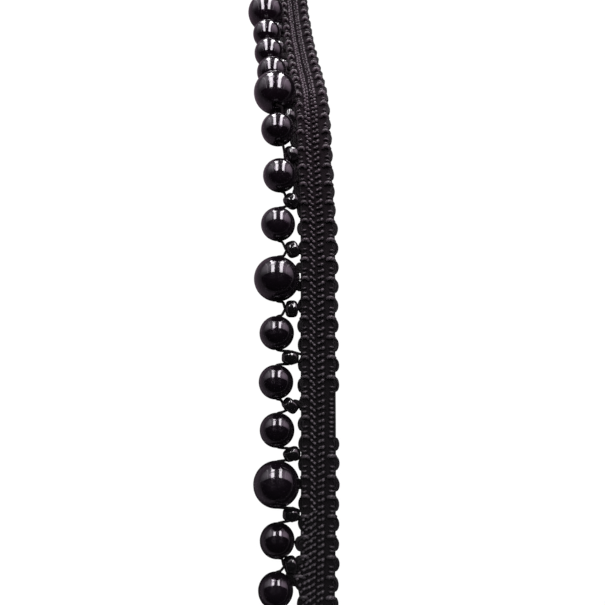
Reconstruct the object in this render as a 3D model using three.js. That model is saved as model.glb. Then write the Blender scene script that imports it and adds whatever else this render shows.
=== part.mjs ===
// A cut length of narrow black gimp braid with a row of round beads strung along its left edge.
// It lies on a flat surface in one soft hump: both ends rest flat and the middle arches up.
// Millimetres. X runs across the braid, Y along it, Z up from the surface.
import * as THREE from "three";

// Braid
const BRAID_HALF_WIDTH = 2.95;
const BRAID_THICK = 1.6;
const FLAT_HALF_WIDTH = 2.6;
const RIB_DEPTH = 0.34;
const SHOULDER_DROP = 0.55;
const PICOT_PITCH = 3.42;
const PICOT_REACH = 0.65;
const LONG_PICOT_REACH = 0.95;
const PRESSED = 0.06;
const FIRST_PICOT = 3.5;
const SEED_ROOM = 2.3;
const LARGE_BEAD_ROOM = 2.8;
const PLAIN_BEFORE = 1.5;
const PLAIN_AFTER = 5.9;
const EDGE_RIB = 2.15;
const LEFT_RIB = 0.72;
const RIGHT_RIB = 0.44;
const WRAP_RISE = 0.16;
const END_MARGIN = 6.2;

// Round beads and seed beads
const LARGE_R = 4;
const SMALL_R = 3;
const HOLE_R = 0.55;
const SEED_R = 1.5;
const SEED_LENGTH = 2.15;
const SEED_OUTLINE = [
  { width: 0.68, height: 1 },
  { width: 0.95, height: 0.58 },
  { width: 1, height: 0 },
];
const CHAIN_REACH = 4.3;
const FLOOR_GAP = 0.02;
const NEXT_GAP = 8.4;
const FIRST_SEED = { reach: 2.5, tilt: 25 };
const BEAD_SIDES = 14;
const BEAD_BANDS = 8;
const SEED_SIDES = 9;

// How the braid's middle line runs: length of each stretch, the slope and the turn to the left at its
// end, and how far the bead chain is tipped up about the braid's left edge there. Degrees.
const START = { slope: 0, turn: -2, tip: 31 };
const COURSE = [
  { length: 21, slope: 0, turn: -2, tip: 30 },
  { length: 15, slope: 17.5, turn: 0, tip: 10 },
  { length: 34, slope: 17.4, turn: 1.3, tip: 6 },
  { length: 20, slope: 13.4, turn: 0, tip: 8 },
  { length: 19, slope: 6.4, turn: 2.8, tip: 29 },
  { length: 7, slope: -6.3, turn: 3.5, tip: 28 },
  { length: 10, slope: -27.3, turn: 5.2, tip: 25 },
  { length: 7, slope: -27.5, turn: 7, tip: 24 },
  { length: 32, slope: -17.9, turn: 4, tip: 33 },
  { length: 15, slope: 0, turn: 3, tip: 31 },
  { length: 20, slope: 0, turn: 1, tip: 31 },
];

// Round beads from the near end to the far one. gap: distance along the braid from the bead before.
// side: how far it sits out from the chain's line. Each row also holds the seed bead just past it:
// reach is the seed's distance in from the chain's line, tilt the angle of its hole from crosswise.
const BEADS = [
  { r: SMALL_R, gap: 4.2, side: 0, reach: 2.5, tilt: 12 },
  { r: LARGE_R, gap: 9.4, side: 0, reach: 2.5, tilt: -20 },
  { r: SMALL_R, gap: 9.4, side: 0, reach: 2.5, tilt: 80 },
  { r: SMALL_R, gap: 8.45, side: 0.05, reach: 2.42, tilt: 8 },
  { r: SMALL_R, gap: 8.4, side: -0.15, reach: 2.5, tilt: 85 },
  { r: LARGE_R, gap: 9.6, side: 0.05, reach: 2.6, tilt: -65 },
  { r: SMALL_R, gap: 9.3, side: -0.05, reach: 2.4, tilt: 50 },
  { r: SMALL_R, gap: 8.3, side: 0.1, reach: 2.42, tilt: 88 },
  { r: SMALL_R, gap: 8.4, side: -0.05, reach: 2.6, tilt: 0 },
  { r: LARGE_R, gap: 9.35, side: 0, reach: 2.65, tilt: 20 },
  { r: SMALL_R, gap: 9.65, side: 0, reach: 2.35, tilt: 50 },
  { r: SMALL_R, gap: 8.8, side: -0.2, reach: 2.4, tilt: 10 },
  { r: SMALL_R, gap: 8.65, side: 0.05, reach: 2.4, tilt: 5 },
  { r: LARGE_R, gap: 9.4, side: 0, reach: 2.45, tilt: 30 },
  { r: SMALL_R, gap: 9.35, side: -0.05, reach: 2.5, tilt: 15 },
  { r: SMALL_R, gap: 8.5, side: 0.05, reach: 2.4, tilt: -10 },
  { r: SMALL_R, gap: 8.4, side: 0.05, reach: 2.4, tilt: 20 },
  { r: LARGE_R, gap: 9.5, side: -0.1, reach: 2.5, tilt: 0 },
  { r: SMALL_R, gap: 9.4, side: 0, reach: 2.5, tilt: -15 },
  { r: SMALL_R, gap: 8.45, side: 0, reach: 2.4, tilt: 10 },
  { r: SMALL_R, gap: 8.45, side: 0, reach: 2.4, tilt: 0 },
];

const RAD = Math.PI / 180;
const STEP = 0.1;
const MOST_FALL_SHIFT = 12;
const HALVINGS = 40;
const LEVEL = 1e-6;

const braidMaterial = new THREE.MeshStandardMaterial({ name: "braid", color: 0x17151a, roughness: 0.85 });
const pearlMaterial = new THREE.MeshStandardMaterial({ name: "pearl", color: 0x1d181f, roughness: 0.12 });
const seedMaterial = new THREE.MeshStandardMaterial({ name: "seed", color: 0x0d0c10, roughness: 0.1 });

const mix = (a, b, t) => a + (b - a) * t;

// Walks the course in short steps and keeps the place and directions at each one.
function walk(fallShift) {
  const line = [];
  const place = new THREE.Vector3(0, 0, BRAID_THICK / 2);
  let before = START;
  for (const part of COURSE) {
    const steps = Math.round(part.length / STEP);
    const shifted = (v) => (v < 0 ? v + fallShift : v);
    for (let i = 0; i < steps; i += 1) {
      const t = (i + 0.5) / steps;
      const slope = mix(shifted(before.slope), shifted(part.slope), t) * RAD;
      const turn = mix(before.turn, part.turn, t) * RAD;
      const along = new THREE.Vector3(
        -Math.sin(turn) * Math.cos(slope),
        Math.cos(turn) * Math.cos(slope),
        Math.sin(slope),
      );
      const across = new THREE.Vector3(Math.cos(turn), Math.sin(turn), 0);
      line.push({
        place: place.clone(),
        along,
        across,
        up: across.clone().cross(along),
        tip: mix(before.tip, part.tip, t),
      });
      place.addScaledVector(along, STEP);
    }
    before = part;
  }
  return line;
}

// The fall past the crest is made just steep enough for the far end to lie on the surface.
function settled() {
  let low = -MOST_FALL_SHIFT;
  let high = MOST_FALL_SHIFT;
  for (let i = 0; i < HALVINGS; i += 1) {
    const middle = (low + high) / 2;
    const end = walk(middle).at(-1).place.z;
    if (end > BRAID_THICK / 2) high = middle;
    else low = middle;
  }
  const line = walk(high);
  const flat = line.findLastIndex((p) => Math.abs(p.along.z) > LEVEL);
  for (const p of line.slice(flat + 1)) p.place.z = BRAID_THICK / 2;
  return line;
}

const LINE = settled();

function at(distance) {
  const i = Math.min(Math.max(Math.round(distance / STEP), 0), LINE.length - 1);
  const near = LINE[i];
  return { ...near, place: near.place.clone().addScaledVector(near.along, distance - i * STEP) };
}

// Where a round bead sits: out from the braid's left edge, tipped up, and never below the surface.
function strung(row, distance) {
  const here = at(distance);
  const edge = here.place.clone().addScaledVector(here.across, -BRAID_HALF_WIDTH);
  const reach = CHAIN_REACH + row.side;
  const needed = Math.asin(Math.min(Math.max((row.r + FLOOR_GAP - edge.z) / reach, 0), 1)) / RAD;
  const tip = Math.max(here.tip, needed) * RAD;
  const out = here.across.clone().multiplyScalar(-Math.cos(tip)).addScaledVector(here.up, Math.sin(tip));
  return { ...row, distance, centre: edge.addScaledVector(out, reach), out };
}

let reached = END_MARGIN - BEADS[0].gap;
const pearls = BEADS.map((row) => {
  reached += row.gap;
  return strung(row, reached);
});
const LENGTH = reached + END_MARGIN;

// A seed bead past every round bead, and one before the first.
function seedBetween(a, b, row) {
  const direction = b.centre.clone().sub(a.centre);
  const gap = direction.length();
  direction.divideScalar(gap);
  const share = (a.r + (gap - a.r - b.r) / 2) / gap;
  const inward = a.out.clone().lerp(b.out, share).negate();
  inward.addScaledVector(direction, -inward.dot(direction)).normalize();
  const centre = a.centre.clone().lerp(b.centre, share).addScaledVector(inward, row.reach);
  const axis = inward.clone().multiplyScalar(Math.cos(row.tilt * RAD));
  axis.addScaledVector(direction, Math.sin(row.tilt * RAD));
  return { centre, axis, distance: mix(a.distance, b.distance, share) };
}

// The two end seed beads sit as if one more small bead followed.
const before = strung({ ...BEADS[0], side: 0 }, pearls[0].distance - NEXT_GAP);
const after = strung({ ...BEADS[0], side: 0 }, reached + NEXT_GAP);

const seeds = [seedBetween(before, pearls[0], FIRST_SEED)];
pearls.forEach((pearl, i) => seeds.push(seedBetween(pearl, pearls[i + 1] ?? after, pearl)));

// A drilled bead as a turned ring about Y: half its outline from hole edge to hole edge, then closed.
function turned(outline, sides) {
  return new THREE.LatheGeometry([...outline, outline[0].clone()], sides);
}

function pearlGeometry(r) {
  const first = Math.asin(HOLE_R / r);
  const outline = [];
  for (let i = 0; i <= BEAD_BANDS; i += 1) {
    const angle = mix(first, Math.PI - first, i / BEAD_BANDS);
    outline.push(new THREE.Vector2(r * Math.sin(angle), -r * Math.cos(angle)));
  }
  return turned(outline, BEAD_SIDES);
}

function seedGeometry() {
  const half = SEED_LENGTH / 2;
  const lower = SEED_OUTLINE.map((p) => new THREE.Vector2(SEED_R * p.width, -half * p.height));
  lower.unshift(new THREE.Vector2(HOLE_R, -half));
  const upper = lower.filter((p) => p.y < 0).map((p) => new THREE.Vector2(p.x, -p.y));
  return turned([...lower, ...upper.reverse()], SEED_SIDES);
}

function placed(name, geometry, material, centre, axis) {
  const mesh = new THREE.Mesh(geometry, material);
  mesh.name = name;
  mesh.position.copy(centre);
  mesh.quaternion.setFromUnitVectors(new THREE.Vector3(0, 1, 0), axis.clone().normalize());
  return mesh;
}

// How far a picot stands out at a distance along the braid. On the left it is pressed flat where a
// seed bead or a large bead bears on the edge, and two are pulled out to the small beads beside them.
// On the right a short stretch was knitted without picots.
const PLAIN_STRETCH = { from: pearls[6].distance - PLAIN_BEFORE, to: pearls[6].distance + PLAIN_AFTER };
const LONG_PICOTS = { from: pearls[3].distance - 1, to: pearls[4].distance + 1 };

function picot(distance, share, left) {
  const full = PICOT_REACH * share;
  if (!left) {
    return distance > PLAIN_STRETCH.from && distance < PLAIN_STRETCH.to ? PRESSED * full : full;
  }
  const nearSeed = Math.min(...seeds.map((s) => Math.abs(s.distance - distance)));
  const large = pearls.filter((p) => p.r === LARGE_R);
  const nearLarge = Math.min(...large.map((p) => Math.abs(p.distance - distance)));
  if (nearSeed < SEED_ROOM || nearLarge < LARGE_BEAD_ROOM) return PRESSED * full;
  return distance > LONG_PICOTS.from && distance < LONG_PICOTS.to ? LONG_PICOT_REACH * share : full;
}

// The braid's outline at one station, seen along it: four ribs above, picots at the sides, flat below.
const STATIONS = [
  { phase: -0.17, picot: 0.55, wrap: 0.2 },
  { phase: 0, picot: 1, wrap: 0 },
  { phase: 0.17, picot: 0.55, wrap: 0.2 },
  { phase: 0.5, picot: 0, wrap: 1 },
];

function section(distance, station, end) {
  const top = BRAID_THICK / 2;
  const valley = top - RIB_DEPTH;
  const crest = top + WRAP_RISE * station.wrap;
  const w = BRAID_HALF_WIDTH;
  const left = end ? 0 : picot(distance, station.picot, true);
  const right = end ? 0 : picot(distance, station.picot, false);
  return [
    [-w - left, 0],
    [-FLAT_HALF_WIDTH, -top],
    [FLAT_HALF_WIDTH, -top],
    [w + right, 0],
    [w, top - SHOULDER_DROP],
    [EDGE_RIB, crest],
    [(EDGE_RIB + RIGHT_RIB) / 2, valley],
    [RIGHT_RIB, top],
    [(RIGHT_RIB - LEFT_RIB) / 2, valley],
    [-LEFT_RIB, top],
    [-(LEFT_RIB + EDGE_RIB) / 2, valley],
    [-EDGE_RIB, crest],
    [-w, top - SHOULDER_DROP],
  ];
}

function braidGeometry() {
  const rows = [{ distance: 0, ...STATIONS[3], end: true }];
  for (let middle = FIRST_PICOT; middle + PICOT_PITCH / 2 < LENGTH; middle += PICOT_PITCH) {
    for (const s of STATIONS) rows.push({ distance: middle + s.phase * PICOT_PITCH, ...s });
  }
  rows.push({ distance: LENGTH, ...STATIONS[3], end: true });
  const points = [];
  for (const row of rows) {
    const here = at(row.distance);
    for (const [u, v] of section(row.distance, row, row.end)) {
      const p = here.place.clone().addScaledVector(here.across, u).addScaledVector(here.up, v);
      points.push(p.x, p.y, p.z);
    }
  }
  const outline = section(0, STATIONS[3], true).map(([x, y]) => new THREE.Vector2(x, y));
  const around = outline.length;
  const index = [];
  for (let i = 0; i + 1 < rows.length; i += 1) {
    for (let j = 0; j < around; j += 1) {
      const a = i * around + j;
      const b = i * around + ((j + 1) % around);
      index.push(a, a + around, b, b, a + around, b + around);
    }
  }
  const last = (rows.length - 1) * around;
  for (const [a, b, c] of THREE.ShapeUtils.triangulateShape(outline, [])) {
    index.push(a, b, c, last + a, last + c, last + b);
  }
  const geometry = new THREE.BufferGeometry();
  geometry.setAttribute("position", new THREE.Float32BufferAttribute(points, 3));
  geometry.setIndex(index);
  return geometry;
}

const trim = new THREE.Group();
trim.name = "beaded_braid";

const braid = new THREE.Mesh(braidGeometry(), braidMaterial);
braid.name = "braid";
trim.add(braid);

pearls.forEach((pearl, i) => {
  const from = pearls[Math.max(i - 1, 0)].centre;
  const to = pearls[Math.min(i + 1, pearls.length - 1)].centre;
  const size = pearl.r === LARGE_R ? "large" : "small";
  const name = `pearl_${size}_${i + 1}`;
  trim.add(placed(name, pearlGeometry(pearl.r), pearlMaterial, pearl.centre, to.clone().sub(from)));
});
seeds.forEach((seed, i) => {
  trim.add(placed(`seed_bead_${i + 1}`, seedGeometry(), seedMaterial, seed.centre, seed.axis));
});

// The origin is under the middle of the whole piece, on the surface it lies on.
const middle = new THREE.Box3().setFromObject(trim).getCenter(new THREE.Vector3());
trim.position.set(-middle.x, -middle.y, 0);

export default trim;
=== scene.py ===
# A cut length of narrow black gimp braid with a row of dark round beads strung along its left edge,
# lying in one soft hump on a pale table.
import math

import bpy
import numpy as np
from mathutils import Euler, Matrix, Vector


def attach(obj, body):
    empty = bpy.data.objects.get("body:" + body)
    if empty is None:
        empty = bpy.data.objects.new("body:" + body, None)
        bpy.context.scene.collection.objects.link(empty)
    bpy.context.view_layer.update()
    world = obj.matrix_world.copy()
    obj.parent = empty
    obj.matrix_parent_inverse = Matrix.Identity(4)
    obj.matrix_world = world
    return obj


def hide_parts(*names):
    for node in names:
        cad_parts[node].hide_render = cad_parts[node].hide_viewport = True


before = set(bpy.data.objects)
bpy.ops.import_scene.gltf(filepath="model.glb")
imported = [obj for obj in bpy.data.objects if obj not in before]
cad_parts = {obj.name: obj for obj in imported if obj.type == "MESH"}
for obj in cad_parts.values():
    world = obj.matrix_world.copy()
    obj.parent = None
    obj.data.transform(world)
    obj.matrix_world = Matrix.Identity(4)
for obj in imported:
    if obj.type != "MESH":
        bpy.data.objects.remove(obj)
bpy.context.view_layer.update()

# Camera. It looks down from the near side, 12 cm away. The rising part of the trim lies nearly square
# to it.
IMAGE_WIDTH_PX, FOCAL_PX = 605, 650
FILM_WIDTH = 36
CAMERA_AT = (0.001033, -0.048965, 0.124239)
CAMERA_TURN_DEG = (19.114, -1.289, 0.421)
scene = bpy.context.scene
scene.view_settings.view_transform = "Standard"
camera_data = bpy.data.cameras.new("camera")
camera_data.sensor_width = FILM_WIDTH
camera_data.lens = FILM_WIDTH * FOCAL_PX / IMAGE_WIDTH_PX
camera_data.clip_start = 0.004
camera_data.clip_end = 30
camera = bpy.data.objects.new("camera", camera_data)
camera.location = CAMERA_AT
camera.rotation_euler = Euler([math.radians(angle) for angle in CAMERA_TURN_DEG])
scene.collection.objects.link(camera)
scene.camera = camera

# How the trim lies. It rises off the table, arches over in one soft hump and comes down flat again.
# Each row is one stretch of the braid's middle line in mm, with the slope, the turn to the left and
# the tip of the bead row about the braid's left edge at the stretch's end, in degrees.
MM = 0.001
COURSE = [
    # length, slope, turn, tip
    (21, 0, -2, 30),
    (15, 17.5, 0, 10),
    (34, 17.4, 1.3, 6),
    (20, 13.4, 0, 8),
    (19, 6.4, 2.8, 29),
    (7, -6.3, 3.5, 28),
    (10, -27.3, 5.2, 25),
    (7, -27.5, 7, 24),
    (32, -17.9, 4, 33),
    (15, 0, 3, 31),
    (20, 0, 1, 31),
]
COURSE_START = (0, -2, 31)
LINE_START = (5.4453, -92.155)
STEP = 0.1
BRAID_THICK, BRAID_HALF_WIDTH = 1.6, 2.95
MOST_FALL_SHIFT, HALVINGS = 12.0, 40


def walk(fall_shift):
    """Places and directions along the middle line, one every step, with the shift on falling slopes."""
    slope, turn, tip = [], [], []
    before = COURSE_START
    for length, *after in COURSE:
        share = (np.arange(round(length / STEP)) + 0.5) / round(length / STEP)
        ends = list(zip(before, after))
        ends[0] = [value + fall_shift * (value < 0) for value in ends[0]]
        for values, (a, b) in zip((slope, turn, tip), ends):
            values.append(a + (b - a) * share)
        before = after
    slope, turn, tip = (np.concatenate(values) for values in (slope, turn, tip))
    slope, turn = np.radians(slope), np.radians(turn)
    level = np.cos(slope)
    along = np.stack([-np.sin(turn) * level, np.cos(turn) * level, np.sin(slope)], 1)
    across = np.stack([np.cos(turn), np.sin(turn), 0 * turn], 1)
    place = np.cumsum(along * STEP, 0) - along * STEP
    place += [*LINE_START, BRAID_THICK / 2]
    return place, along, across, np.cross(across, along), tip


# The falling slopes are made a little steeper or flatter, until the far end lies on the table.
too_low, high_enough = -MOST_FALL_SHIFT, MOST_FALL_SHIFT
for _ in range(HALVINGS):
    tried = (too_low + high_enough) / 2
    if walk(tried)[0][-1, 2] > BRAID_THICK / 2:
        high_enough = tried
    else:
        too_low = tried
PLACE, ALONG, ACROSS, UP, TIP = walk(high_enough)


def directions(s):
    """The middle line's place and directions at distances s along it, by straight interpolation."""
    s = np.asarray(s, float)
    at = np.clip(s / STEP, 0, len(PLACE) - 1.001)
    k = at.astype(int)
    f = (at - k)[..., None]
    place, along, across, up = (a[k] * (1 - f) + a[k + 1] * f for a in (PLACE, ALONG, ACROSS, UP))
    return place + along * (s - at * STEP)[..., None], along, across, up


def lay(s, u, v):
    """Points s along, u across and v above the middle line, in metres."""
    place, _, across, up = directions(s)
    u, v = np.broadcast_arrays(u, v)
    return (place + across * u[..., None] + up * v[..., None]) * MM


# Where the beads hang. They are strung in a row beside the braid's left edge, one large bead to three
# small ones. Past each comes a seed bead, drawn in against the edge. Lengths are in mm, and a tilt is
# the angle of a seed bead's hole from crosswise, in degrees.
LARGE_R, SMALL_R, HOLE_R = 4, 3, 0.55
CHAIN_REACH, FLOOR_GAP, END_MARGIN, NEXT_GAP = 4.3, 0.02, 6.2, 8.4
FIRST_SEED_REACH, FIRST_SEED_TILT = 2.5, 25
BEADS = [
    # From the near end: radius, distance from the bead before, how far it sits out of the row's line,
    # and for the seed bead past it, its distance in from that line and its tilt.
    (SMALL_R, 4.2, 0, 2.5, 12),
    (LARGE_R, 9.4, 0, 2.5, -20),
    (SMALL_R, 9.4, 0, 2.5, 80),
    (SMALL_R, 8.45, 0.05, 2.42, 8),
    (SMALL_R, 8.4, -0.15, 2.5, 85),
    (LARGE_R, 9.6, 0.05, 2.6, -65),
    (SMALL_R, 9.3, -0.05, 2.4, 50),
    (SMALL_R, 8.3, 0.1, 2.42, 88),
    (SMALL_R, 8.4, -0.05, 2.6, 0),
    (LARGE_R, 9.35, 0, 2.65, 20),
    (SMALL_R, 9.65, 0, 2.35, 50),
    (SMALL_R, 8.8, -0.2, 2.4, 10),
    (SMALL_R, 8.65, 0.05, 2.4, 5),
    (LARGE_R, 9.4, 0, 2.45, 30),
    (SMALL_R, 9.35, -0.05, 2.5, 15),
    (SMALL_R, 8.5, 0.05, 2.4, -10),
    (SMALL_R, 8.4, 0.05, 2.4, 20),
    (LARGE_R, 9.5, -0.1, 2.5, 0),
    (SMALL_R, 9.4, 0, 2.5, -15),
    (SMALL_R, 8.45, 0, 2.4, 10),
    (SMALL_R, 8.45, 0, 2.4, 0),
]


def strung(radius, s, side):
    """A round bead's middle, and the way it hangs out from the braid's left edge."""
    place, _, across, up = directions(s)
    edge = place - across * BRAID_HALF_WIDTH
    reach = CHAIN_REACH + side
    needed = math.asin(min(max((radius + FLOOR_GAP - edge[2]) / reach, 0), 1))
    nearest = int(np.clip(round(float(s) / STEP), 0, len(TIP) - 1))
    tip = max(math.radians(TIP[nearest]), needed)
    out = -across * math.cos(tip) + up * math.sin(tip)
    return edge + out * reach, out


def unit(v):
    return v / np.linalg.norm(v)


def seed_between(a, b, reach, tilt):
    """A seed bead's middle and hole direction, between two round beads (middle, out, radius)."""
    gap = np.linalg.norm(b[0] - a[0])
    direction = (b[0] - a[0]) / gap
    share = (a[2] + (gap - a[2] - b[2]) / 2) / gap
    inward = -(a[1] * (1 - share) + b[1] * share)
    inward = unit(inward - direction * (inward @ direction))
    tilt = math.radians(tilt)
    axis = inward * math.cos(tilt) + direction * math.sin(tilt)
    return a[0] + (b[0] - a[0]) * share + inward * reach, axis, inward, share


bead_r, bead_gap, bead_side, seed_reach, seed_tilt = np.array(BEADS, float).T
bead_s = END_MARGIN - bead_gap[0] + np.cumsum(bead_gap)
LENGTH = bead_s[-1] + END_MARGIN
placed = [strung(*row) for row in zip(bead_r, bead_s, bead_side)]
bead_at, bead_out = (np.array(values) for values in zip(*placed))
neighbours = np.clip(np.arange(len(BEADS))[:, None] + [-1, 1], 0, len(BEADS) - 1)
bead_axis = bead_at[neighbours[:, 1]] - bead_at[neighbours[:, 0]]
bead_axis /= np.linalg.norm(bead_axis, axis=1)[:, None]

# The row is cut off at both ends. The beads that came next only say where the end seed beads sit.
cut_s = np.array([bead_s[0] - NEXT_GAP, bead_s[-1] + NEXT_GAP])
cut_near, cut_far = ((*strung(SMALL_R, s, 0), SMALL_R) for s in cut_s)
chain = [cut_near] + [(middle, out, radius) for (middle, out), radius in zip(placed, bead_r)] + [cut_far]
chain_s = np.concatenate([cut_s[:1], bead_s, cut_s[1:]])
seed_rows = [(FIRST_SEED_REACH, FIRST_SEED_TILT)] + list(zip(seed_reach, seed_tilt))
seeds = [seed_between(a, b, *row) for a, b, row in zip(chain, chain[1:], seed_rows)]
seed_at, seed_axis, seed_in, seed_share = (np.array(values) for values in zip(*seeds))
seed_s = chain_s[:-1] + np.diff(chain_s) * seed_share

# Beading thread. One length of black polyester thread holds the beads. From each round bead it runs
# in through the seed bead, takes a small stitch in the braid's edge, comes back out and goes on
# to the next one, pulled taut.
THREAD_WIDTH, THREAD_STEP, CORNER_ROUNDING = 0.48, 0.15, 0.5
SEED_R, SEED_LENGTH = 1.5, 2.15
STRAND_APART, STRAND_LEAN = 0.22, 0.3
UPRIGHT_DEG, HUG_DEG = 55, 16
MOUTH_DEPTH, SEED_CLEAR, PRESSED_THREAD = 0.1, 0.05, 0.4
STITCH_HALF, STITCH_IN, STITCH_UP = 0.45, 0.3, 0.2


def ring_faces(rings, around, closed=False):
    """Four-sided faces that join each ring of points to the next, and the last to the first if closed."""
    i, k = np.meshgrid(np.arange(rings if closed else rings - 1), np.arange(around), indexing="ij")
    past, beside = (i + 1) % rings, (k + 1) % around
    corners = [i * around + k, i * around + beside, past * around + beside, past * around + k]
    return np.stack(corners, -1).reshape(-1, 4)


def cap_faces(around):
    """Four-sided faces that close one ring of an even number of points."""
    return np.array([(q, q + 1, around - 2 - q, around - 1 - q) for q in range(around // 2 - 1)])


def tubes(paths, radius, sides=8):
    """Closed tubes along many paths of equal point count: points, four-sided faces and their UVs."""
    paths = np.asarray(paths, float)
    count, steps, _ = paths.shape
    radius = np.broadcast_to(np.asarray(radius, float) * MM, (count, steps))
    tangent = np.gradient(paths, axis=1)
    tangent /= np.linalg.norm(tangent, axis=2)[..., None]
    guide = np.where(np.abs(tangent[:, :1, 2:]) < 0.9, [[[0.0, 0, 1]]], [[[1.0, 0, 0]]])[:, 0]
    normal = np.empty_like(paths)
    side = np.cross(tangent[:, 0], guide)
    for j in range(steps):
        side = side - tangent[:, j] * (side * tangent[:, j]).sum(1)[:, None]
        side /= np.linalg.norm(side, axis=1)[:, None]
        normal[:, j] = side
    binormal = np.cross(tangent, normal)
    angle = np.arange(sides) * 2 * math.pi / sides
    ring = normal[:, :, None] * np.cos(angle)[:, None] + binormal[:, :, None] * np.sin(angle)[:, None]
    points = paths[:, :, None] + ring * radius[..., None, None]
    first = (np.arange(count) * steps * sides)[:, None, None]
    faces = (first + ring_faces(steps, sides)).reshape(-1, 4)
    run = np.linalg.norm(np.diff(paths, axis=1), axis=2) / MM
    run = np.concatenate([np.zeros((count, 1)), np.cumsum(run, 1)], 1).ravel()
    round_it = np.tile(np.arange(sides), count * (steps - 1))[:, None] + [0, 1, 1, 0]
    uv = np.stack([run[faces // sides], round_it / sides], -1)
    cap = cap_faces(sides)
    caps = np.concatenate([first + cap[:, ::-1], first + (steps - 1) * sides + cap]).reshape(-1, 4)
    faces = np.concatenate([faces, caps])
    uv = np.concatenate([uv, np.zeros((len(caps), 4, 2))])
    return points.reshape(-1, 3), faces, uv


def new_piece(name, parts, material):
    """One smooth mesh object of joined parts, each (points, faces, uv, tone of each point)."""
    start, points, faces, uv, tone = 0, [], [], [], []
    for part_points, part_faces, part_uv, part_tone in parts:
        points.append(part_points)
        faces.append(part_faces + start)
        uv.append(part_uv)
        tone.append(np.broadcast_to(part_tone, len(part_points)))
        start += len(part_points)
    points, faces, uv, tone = (np.concatenate(values) for values in (points, faces, uv, tone))
    mesh = bpy.data.meshes.new(name)
    mesh.vertices.add(len(points))
    mesh.vertices.foreach_set("co", points.astype(np.float32).ravel())
    mesh.loops.add(faces.size)
    mesh.loops.foreach_set("vertex_index", faces.astype(np.int32).ravel())
    mesh.polygons.add(len(faces))
    mesh.polygons.foreach_set("loop_start", np.arange(0, faces.size, 4, dtype=np.int32))
    mesh.polygons.foreach_set("use_smooth", np.ones(len(faces), bool))
    mesh.uv_layers.new(name="yarn").data.foreach_set("uv", uv.astype(np.float32).ravel())
    mesh.attributes.new("tone", "FLOAT", "POINT").data.foreach_set("value", tone.astype(np.float32))
    mesh.update(calc_edges=True)
    mesh.materials.append(material)
    piece = bpy.data.objects.new(name, mesh)
    scene.collection.objects.link(piece)
    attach(piece, "root")
    return piece


def new_material(name, **values):
    """A material with one Principled shader, its sockets set by name."""
    material = bpy.data.materials.new(name)
    material.use_nodes = True
    shader = material.node_tree.nodes["Principled BSDF"]
    for socket, value in values.items():
        shader.inputs[socket.replace("_", " ")].default_value = value
    return material, material.node_tree, shader


def add(tree, kind, **values):
    """A node with its properties set by name."""
    node = tree.nodes.new(kind)
    for key, value in values.items():
        setattr(node, key, value)
    return node


def maths(tree, operation, a, b=None):
    """The result of one sum on two numbers or sockets."""
    node = add(tree, "ShaderNodeMath", operation=operation)
    for socket, value in zip(node.inputs, (a, b)):
        if isinstance(value, (int, float)):
            socket.default_value = value
        elif value is not None:
            tree.links.new(value, socket)
    return node.outputs[0]


def mixed(tree, factor, a, b, blend="MIX"):
    """A colour between a and b, each a colour or a socket."""
    mix = add(tree, "ShaderNodeMix", data_type="RGBA", blend_type=blend)
    tree.links.new(factor, mix.inputs["Factor"])
    for socket, value in (("A", a), ("B", b)):
        if isinstance(value, tuple):
            mix.inputs[socket].default_value = (*value, 1)
        else:
            tree.links.new(value, mix.inputs[socket])
    return mix.outputs["Result"]


def noise(tree, scale, detail):
    """Fine noise fixed to the piece, from 0 to 1. The scale is a number or a socket."""
    place = add(tree, "ShaderNodeTexCoord")
    grain = add(tree, "ShaderNodeTexNoise")
    grain.inputs["Detail"].default_value = detail
    if isinstance(scale, (int, float)):
        grain.inputs["Scale"].default_value = scale
    else:
        tree.links.new(scale, grain.inputs["Scale"])
    tree.links.new(place.outputs["Object"], grain.inputs["Vector"])
    return grain.outputs["Fac"]


def raise_surface(tree, shader, height, strength, depth):
    """Bump on a shader. The depth is in metres."""
    bump = add(tree, "ShaderNodeBump")
    bump.inputs["Strength"].default_value = strength
    bump.inputs["Distance"].default_value = depth
    tree.links.new(height, bump.inputs["Height"])
    tree.links.new(bump.outputs[0], shader.inputs["Normal"])


def new_group(name, inputs, outputs):
    """A shader node group with named number sockets, and the nodes at its two ends."""
    group = bpy.data.node_groups.new(name, "ShaderNodeTree")
    for way, sockets in (("INPUT", inputs), ("OUTPUT", outputs)):
        for socket in sockets:
            group.interface.new_socket(name=socket, in_out=way, socket_type="NodeSocketFloat")
    return group, add(group, "NodeGroupInput"), add(group, "NodeGroupOutput")


# Twisted yarn: two plies wound round each other, with loose fibres as fine noise. The UVs give mm
# along the yarn and turns round it. Shade goes from the yarn's dark colour to its light one. The
# grooves between the plies are painted darker, as painted shade, and the fibres add random tone.
FIBRE_SCALE, FIBRE_DETAIL, FIBRE_SHADE, FIBRE_HEIGHT = 9000, 3, 0.25, 0.5
GROOVE_SHADE, GROOVE_STRENGTH, GROOVE_DEPTH = 0.35, 0.7, 0.00004
twisted_yarn, yarn_in, yarn_out = new_group("twisted_yarn", ("Tone", "Twist"), ("Shade", "Height"))
yarn_uv = add(twisted_yarn, "ShaderNodeSeparateXYZ")
twisted_yarn.links.new(add(twisted_yarn, "ShaderNodeUVMap", uv_map="yarn").outputs[0], yarn_uv.inputs[0])
turns = maths(twisted_yarn, "MULTIPLY", yarn_uv.outputs[0], yarn_in.outputs["Twist"])
turns = maths(twisted_yarn, "ADD", turns, yarn_uv.outputs[1])
ply = maths(twisted_yarn, "SINE", maths(twisted_yarn, "MULTIPLY", turns, 2 * math.pi))
ply = maths(twisted_yarn, "ABSOLUTE", ply)
fibres = noise(twisted_yarn, FIBRE_SCALE, FIBRE_DETAIL)
# Painted shade: the colour is darker in the grooves between the plies.
shade = maths(twisted_yarn, "ADD", ply, GROOVE_SHADE)
shade = maths(twisted_yarn, "MULTIPLY", yarn_in.outputs["Tone"], shade)
shade = maths(twisted_yarn, "ADD", shade, maths(twisted_yarn, "MULTIPLY", fibres, FIBRE_SHADE))
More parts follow.
